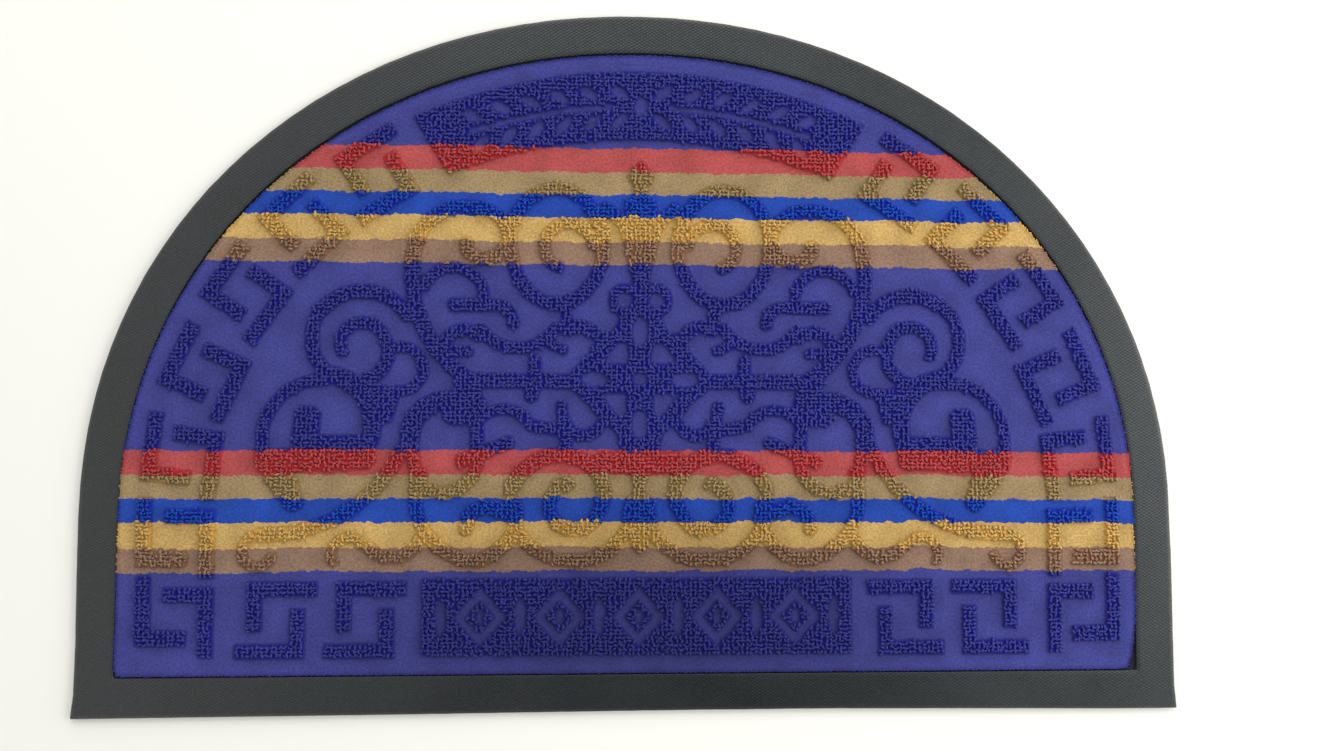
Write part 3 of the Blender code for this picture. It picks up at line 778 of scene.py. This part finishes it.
def new_material(name):
    """A material with an empty Principled shader, its node tree and that shader."""
    material = bpy.data.materials.new(name)
    material.use_nodes = True
    return material, material.node_tree, material.node_tree.nodes["Principled BSDF"]


def feed(tree, node, inputs):
    """Sets sockets by name or number, each to a fixed value or to the output that feeds it."""
    for socket, value in inputs.items():
        if isinstance(value, bpy.types.NodeSocket):
            tree.links.new(value, node.inputs[socket])
        else:
            node.inputs[socket].default_value = value


def add_node(tree, kind, inputs=None, **settings):
    """Adds a node with these settings, and feeds its sockets."""
    node = tree.nodes.new(kind)
    for key, value in settings.items():
        setattr(node, key, value)
    feed(tree, node, inputs or {})
    return node


def calculate(tree, operation, *values):
    """The output of a Math node."""
    return add_node(tree, "ShaderNodeMath", dict(enumerate(values)), operation=operation).outputs[0]


def calculate_vector(tree, operation, first, second):
    """The Vector Math node for two vectors."""
    return add_node(tree, "ShaderNodeVectorMath", {0: first, 1: second}, operation=operation)


def object_place(tree):
    """The place on the object, in metres."""
    return add_node(tree, "ShaderNodeTexCoord").outputs["Object"]


def stored(tree, name, output="Fac"):
    """What the mesh's points keep under this name."""
    return add_node(tree, "ShaderNodeAttribute", attribute_name=name).outputs[output]


def noise_at(tree, place, scale, detail):
    """The value of a noise texture."""
    inputs = {"Vector": place, "Scale": scale, "Detail": detail}
    return add_node(tree, "ShaderNodeTexNoise", inputs).outputs["Fac"]


def rescale(tree, value, from_low, from_high, to_low, to_high):
    """The value carried from one range to another, and held at its ends."""
    inputs = {"Value": value, "From Min": from_low, "From Max": from_high}
    inputs |= {"To Min": to_low, "To Max": to_high}
    return add_node(tree, "ShaderNodeMapRange", inputs, clamp=True).outputs["Result"]


def bumped(tree, height, strength, distance):
    """The normals that a height gives."""
    inputs = {"Height": height, "Strength": strength, "Distance": distance}
    return add_node(tree, "ShaderNodeBump", inputs).outputs["Normal"]


def blended(tree, factor, first, second, blend_type="MIX"):
    """A mix of two colours, each a fixed one or an output."""
    inputs = {"Factor": factor, "A": first, "B": second}
    return add_node(tree, "ShaderNodeMix", inputs, data_type="RGBA", blend_type=blend_type).outputs["Result"]


def tinted(tree, colour, brightness):
    """The colour made brighter or darker by a number around 1."""
    grey = add_node(tree, "ShaderNodeCombineColor", {0: brightness, 1: brightness, 2: brightness}).outputs[0]
    return blended(tree, 1.0, colour, grey, "MULTIPLY")


def painted_shadow(tree, place):
    """The brightness of a painted shadow: least at the middle of the hem, and 1 away from it."""
    stretch = (1 / PAINTED_SHADOW_REACH[0], 1 / PAINTED_SHADOW_REACH[1], 0.0)
    away = calculate_vector(tree, "SUBTRACT", place, PAINTED_SHADOW_CENTRE).outputs[0]
    share = calculate_vector(tree, "MULTIPLY", away, stretch).outputs[0]
    square = calculate_vector(tree, "DOT_PRODUCT", share, share).outputs["Value"]
    return rescale(tree, square, 0.0, 1.0, PAINTED_SHADOW_BRIGHTNESS, 1.0)


print("tools for finishes are ready")

# %% [markdown]
# ## Rubber finish
# The mould was lined with cloth, and its weave is pressed into the rubber: staggered cells 3.4 mm long
# and 2 mm wide, a few hundredths of a millimetre deep. Two slanting waves that cross give that lattice, and
# the one that rises to the right is the stronger. The cloth was not quite flat, so both wander. The crests
# are paler, a painted highlight. The slate-grey rubber has faint cloudy patches, it is browner where it
# was trimmed, though not on its underside, and towards the left it is paler, a painted reflection.

# %% Rubber finish
RUBBER = screen_colour(23, 28, 29)
RUBBER_CLOUD = screen_colour(29, 34, 35)
RUBBER_PAINTED_HIGHLIGHT = screen_colour(52, 60, 62)
RUBBER_CUT = screen_colour(84, 80, 74)
PAINTED_SHEEN = screen_colour(81, 80, 79)
PAINTED_SHEEN_SHARE = 0.2
WEAVE_ACROSS = 0.297 / MM
WEAVE_ALONG = 0.505 / MM
RISING_SHARE = 0.62
WANDER_SCALE = 90.0
WEAVE_WANDER = 6.5
WEAVE_DEPTH = 0.065 * MM
WEAVE_STRENGTH = 0.8
GRAIN_SCALE = 1500.0
GRAIN_HEIGHT = 1.2
CLOUD_SCALE = 16.0
FINE_SCALE = 750.0
FINE_SHADES = (0.72, 1.28)
CREST_FROM, CREST_TO = 0.0, 0.9
CREST_SPECKLE = (0.1, 1.4)
CUT_REACH = (0.3 * MM, 2.2 * MM)
CUT_SHARE = 0.6
CUT_ABOVE = (0.05 * MM, 0.5 * MM)
RUBBER_ROUGHNESS = (0.33, 0.42)

rubber_finish, tree, shader = new_material("slate_rubber")
place = object_place(tree)
split = add_node(tree, "ShaderNodeSeparateXYZ", {0: place})
wobble = calculate(tree, "MULTIPLY", noise_at(tree, place, WANDER_SCALE, 2.0), WEAVE_WANDER)
across = calculate(tree, "MULTIPLY_ADD", split.outputs["X"], 2 * pi * WEAVE_ACROSS, wobble)
along = calculate(tree, "MULTIPLY", split.outputs["Y"], 2 * pi * WEAVE_ALONG)
rising = calculate(tree, "COSINE", calculate(tree, "SUBTRACT", across, along))
falling = calculate(tree, "COSINE", calculate(tree, "ADD", across, along))
falling_part = calculate(tree, "MULTIPLY", falling, 1 - RISING_SHARE)
weave = calculate(tree, "MULTIPLY_ADD", rising, RISING_SHARE, falling_part)
grain = noise_at(tree, place, GRAIN_SCALE, 3.0)
patchy = noise_at(tree, place, CLOUD_SCALE, 4.0)
fine = noise_at(tree, place, FINE_SCALE, 3.0)
above = rescale(tree, split.outputs["Z"], *CUT_ABOVE, 0.0, 1.0)
cut = calculate(tree, "MULTIPLY", rescale(tree, stored(tree, "to_edge"), *CUT_REACH, CUT_SHARE, 0.0), above)
cloud = rescale(tree, patchy, *NOISE_CORE, 0.0, 1.0)
speckle = rescale(tree, grain, *NOISE_CORE, *CREST_SPECKLE)
# the paler crests of the weave are a painted highlight
painted_crest_highlight = calculate(tree, "MULTIPLY", rescale(tree, weave, CREST_FROM, CREST_TO, 0.0, 1.0), speckle)
# towards the left the rubber is painted paler, a painted reflection
painted_sheen_mask = rescale(tree, split.outputs["X"], -MAT_HALF, 0.0, PAINTED_SHEEN_SHARE, 0.0)
colour = blended(tree, cloud, RUBBER, RUBBER_CLOUD)
colour = blended(tree, painted_crest_highlight, colour, RUBBER_PAINTED_HIGHLIGHT)
colour = blended(tree, cut, colour, RUBBER_CUT)
colour = tinted(tree, colour, rescale(tree, fine, *NOISE_RANGE, *FINE_SHADES))
# a painted shadow darkens the rubber at the middle of the hem
colour = tinted(tree, blended(tree, painted_sheen_mask, colour, PAINTED_SHEEN), painted_shadow(tree, place))
height = calculate(tree, "MULTIPLY_ADD", grain, GRAIN_HEIGHT, weave)
feed(tree, shader, {
    "Base Color": colour,
    "Normal": bumped(tree, height, WEAVE_STRENGTH, WEAVE_DEPTH),
    "Roughness": rescale(tree, patchy, *NOISE_RANGE, *RUBBER_ROUGHNESS),
})
rubber.data.materials.clear()
rubber.data.materials.append(rubber_finish)
print("rubber finish nodes:", len(tree.nodes))

# %% [markdown]
# ## Recess floor finish
# The floor of the recess shows only as a thin line round the panel, and where the panel's lower right
# corner is cut short. It is smooth and matt, without the paler weave, so it looks darker than the border,
# and fluff of the carpet makes it a little blue.

# %% Recess floor finish
RECESS_RUBBER = screen_colour(39, 40, 46)
FLUFF_SCALE = 900.0
FLUFF_SHADES = (0.7, 1.4)
FLUFF_STRENGTH = 0.5
FLUFF_HEIGHT = 0.1 * MM
RECESS_SURFACE = {"Roughness": 0.8, "Specular IOR Level": 0.1}

recess_finish, tree, shader = new_material("recess_rubber")
fluff = noise_at(tree, object_place(tree), FLUFF_SCALE, 3.0)
colour = tinted(tree, RECESS_RUBBER, rescale(tree, fluff, *NOISE_RANGE, *FLUFF_SHADES))
feed(tree, shader, {"Base Color": colour, "Normal": bumped(tree, fluff, FLUFF_STRENGTH, FLUFF_HEIGHT)})
feed(tree, shader, RECESS_SURFACE)
rubber.data.materials.append(recess_finish)
recess_faces = [face for face in rubber.data.polygons if abs(face.center.z - RECESS_Z) < RIM_ROUND / 2]
for face in recess_faces:
    face.material_index = 1
print("recess faces:", len(recess_faces))

# %% [markdown]
# ## Carpet stripes
# The stripes are yarns of other colours, five of them side by side, and the same five come again lower
# down the mat. So one scale of heights is enough: below the middle, a fixed repeat is added to it. The lower
# set also sags a little towards the mat's sides. A stripe ends where loops of the next colour begin, so its
# edge is a coastline of small round bumps, on waves about a centimetre long, on a slow wander. All three
# come from noise that hardly changes along Y, so that no speck of one colour lands in another. Each standing
# loop reads its colour at its own root.

# %% Carpet stripes
STRIPE_REPEAT = 195.6 * MM
STRIPE_SAG = 0.0122
SCALE_LOW = 50.0 * MM
SCALE_HIGH = 150.0 * MM
RAMP_STARTS_WITH = 2
EDGE_NOISES = ((340.0, 3.0 * MM), (115.0, 3.4 * MM), (26.0, 4.0 * MM))
EDGE_SQUEEZE = (1.0, 0.15, 0.0)
STRIPES = (
    # lower edge in mm, then colours: pressed pile, crown of a loop, deep between loops as a painted shade
    (50.0, (59, 61, 132), (55, 58, 134), (4, 6, 120)),
    (60.4, (138, 110, 91), (141, 113, 92), (130, 89, 60)),
    (75.3, (190, 156, 93), (190, 158, 96), (200, 150, 57)),
    (91.2, (28, 67, 160), (22, 71, 166), (0, 24, 155)),
    (106.0, (149, 126, 90), (151, 130, 93), (143, 113, 56)),
    (121.0, (169, 73, 73), (168, 69, 70), (170, 28, 36)),
    (136.7, (59, 61, 132), (55, 58, 134), (4, 6, 120)),
)


def stripe_colours(tree, place):
    """The colours at a place: the pressed pile, the crown of a loop, and the painted shade deep between the
    loops.
    """
    parts = add_node(tree, "ShaderNodeSeparateXYZ", {0: place})
    squeezed = calculate_vector(tree, "MULTIPLY", place, EDGE_SQUEEZE).outputs[0]
    height = parts.outputs["Y"]
    is_low = calculate(tree, "LESS_THAN", height, 0.0)
    across_squared = calculate(tree, "MULTIPLY", parts.outputs["X"], parts.outputs["X"])
    lift = calculate(tree, "MULTIPLY_ADD", across_squared, STRIPE_SAG, STRIPE_REPEAT)
    height = calculate(tree, "MULTIPLY_ADD", is_low, lift, height)
    for scale, reach in EDGE_NOISES:
        offset = calculate(tree, "SUBTRACT", noise_at(tree, squeezed, scale, 1.0), 0.5)
        height = calculate(tree, "MULTIPLY_ADD", offset, reach, height)
    on_scale = rescale(tree, height, SCALE_LOW, SCALE_HIGH, 0.0, 1.0)
    made = []
    for column in (1, 2, 3):
        ramp = add_node(tree, "ShaderNodeValToRGB", {"Fac": on_scale})
        ramp.color_ramp.interpolation = "CONSTANT"
        for row, stripe in enumerate(STRIPES):
            position = (stripe[0] * MM - SCALE_LOW) / (SCALE_HIGH - SCALE_LOW)
            elements = ramp.color_ramp.elements
            element = elements[row] if row < RAMP_STARTS_WITH else elements.new(position)
            element.position = position
            element.color = screen_colour(*stripe[column])
        made.append(ramp.outputs["Color"])
    return made


print("stripes:", len(STRIPES) - 2, "in each set")

# %% [markdown]
# ## Pressed carpet finish
# The flattened pile is felted and dull, with a fine mottle. Towards the standing loops it takes on their
# deeper colour, partly because their fuzz lies over it and partly as a painted shade, and the same happens a
# little where loops crowd round it and along the panel's cut edge. Between the feet of the loops it is
# darkest, a painted shade. The distances that the sheet's points keep are in millimetres.

# %% Pressed carpet finish
NEAR_DEPTH = 0.62
NEAR_SHADE = 0.6
NEAR_REACH = (-1.4, -0.1)
NEAR_SHARE = 0.75
CROWD_SHARE = 0.45
RIM_REACH = (0.0, 2.8)
RIM_SHARE = 0.6
PAINTED_SHADE_UNDER_LOOPS = (0.2, 1.2)
MOTTLE_FINE_SCALE = 700.0
MOTTLE_FINE_SHADES = (0.72, 1.28)
MOTTLE_BROAD_SCALE = 60.0
MOTTLE_BROAD_SHADES = (0.86, 1.14)
FELT_SCALE = 1400.0
FELT_STRENGTH = 0.6
FELT_HEIGHT = 0.25 * MM
PRESSED_SURFACE = {
    "Roughness": 0.95, "Specular IOR Level": 0.15, "Sheen Weight": 0.1, "Sheen Roughness": 0.6
}

carpet_finish, tree, shader = new_material("pressed_loop_carpet")
place = object_place(tree)
pressed, _, deep = stripe_colours(tree, place)
mottle_fine = noise_at(tree, place, MOTTLE_FINE_SCALE, 4.0)
mottle_broad = noise_at(tree, place, MOTTLE_BROAD_SCALE, 3.0)
mottle = calculate(
    tree,
    "MULTIPLY",
    rescale(tree, mottle_fine, *NOISE_RANGE, *MOTTLE_FINE_SHADES),
    rescale(tree, mottle_broad, *NOISE_RANGE, *MOTTLE_BROAD_SHADES),
)
depth = stored(tree, "into_ornament")
# near the loops, where loops crowd and along the cut edge, the pressed pile gets a painted shade
painted_shade_beside = rescale(tree, depth, *NEAR_REACH, 0.0, NEAR_SHARE)
painted_shade_crowded = calculate(tree, "MULTIPLY", stored(tree, "crowding"), CROWD_SHARE)
painted_shade_at_rim = rescale(tree, stored(tree, "to_rim"), *RIM_REACH, RIM_SHARE, 0.0)
shaded = calculate(tree, "MAXIMUM", calculate(tree, "MAXIMUM", painted_shade_beside, painted_shade_crowded), painted_shade_at_rim)
# between the feet of the loops the deep colour is a painted shade
under = rescale(tree, depth, *PAINTED_SHADE_UNDER_LOOPS, 0.0, 1.0)
near = tinted(tree, blended(tree, NEAR_DEPTH, pressed, deep), NEAR_SHADE)
colour = blended(tree, under, blended(tree, shaded, pressed, near), deep)
# a painted shadow darkens the pressed pile at the middle of the hem
colour = tinted(tree, tinted(tree, colour, mottle), painted_shadow(tree, place))
felt = noise_at(tree, place, FELT_SCALE, 4.0)
feed(tree, shader, {"Base Color": colour, "Normal": bumped(tree, felt, FELT_STRENGTH, FELT_HEIGHT)})
feed(tree, shader, PRESSED_SURFACE)
carpet.data.materials.clear()
carpet.data.materials.append(carpet_finish)
print("pressed carpet nodes:", len(tree.nodes))

# %% [markdown]
# ## Loop finish
# A loop is brightest on its crown and painted dark at its feet, a painted shade, and no two loops catch the
# light alike. The loops lean a little, and those on the right are painted brighter, a painted light from the
# right. Fine fibres run round the yarn, so the bump is finer than the loop.

# %% Loop finish
PAINTED_LIGHT_LEFT = 0.93
PAINTED_LIGHT_RIGHT = 1.14
CROWN_FROM, CROWN_TO = 0.2, 0.78
OWN_SHADES = (0.84, 1.16)
FIBRE_SCALE = 4500.0
FIBRE_STRENGTH = 0.5
FIBRE_HEIGHT = 0.12 * MM
LOOP_SURFACE = {
    "Roughness": 0.85, "Specular IOR Level": 0.1, "Sheen Weight": 0.05, "Sheen Roughness": 0.5
}

loop_finish, tree, shader = new_material("standing_loops")
root = stored(tree, "root", "Vector")
_, crown, deep = stripe_colours(tree, root)
# the deep colour at a loop's feet is a painted shade that fades towards its crown
on_crown = rescale(tree, stored(tree, "crown"), CROWN_FROM, CROWN_TO, 0.0, 1.0)
own = rescale(tree, stored(tree, "tone"), -1.0, 1.0, *OWN_SHADES)
root_x = add_node(tree, "ShaderNodeSeparateXYZ", {0: root}).outputs["X"]
# lean here is a painted light: the loops are painted brighter towards the mat's right
lean = rescale(tree, root_x, -MAT_HALF, MAT_HALF, PAINTED_LIGHT_LEFT, PAINTED_LIGHT_RIGHT)
# a painted shadow darkens the loops at the middle of the hem
colour = tinted(tree, tinted(tree, blended(tree, on_crown, deep, crown), own), painted_shadow(tree, root))
colour = tinted(tree, colour, lean)
fibres = noise_at(tree, object_place(tree), FIBRE_SCALE, 2.0)
feed(tree, shader, {"Base Color": colour, "Normal": bumped(tree, fibres, FIBRE_STRENGTH, FIBRE_HEIGHT)})
feed(tree, shader, LOOP_SURFACE)
for piece in loop_pieces:
    piece.data.materials.append(loop_finish)
print("loop finish nodes:", len(tree.nodes))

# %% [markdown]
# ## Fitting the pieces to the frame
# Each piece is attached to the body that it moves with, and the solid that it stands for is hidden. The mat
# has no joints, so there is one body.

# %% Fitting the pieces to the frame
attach(rubber, "root")
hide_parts("rubber_base")
for piece in [carpet, *loop_pieces]:
    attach(piece, "root")
    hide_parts("pile_insert")
rubber_solid.free()
panel_solid.free()
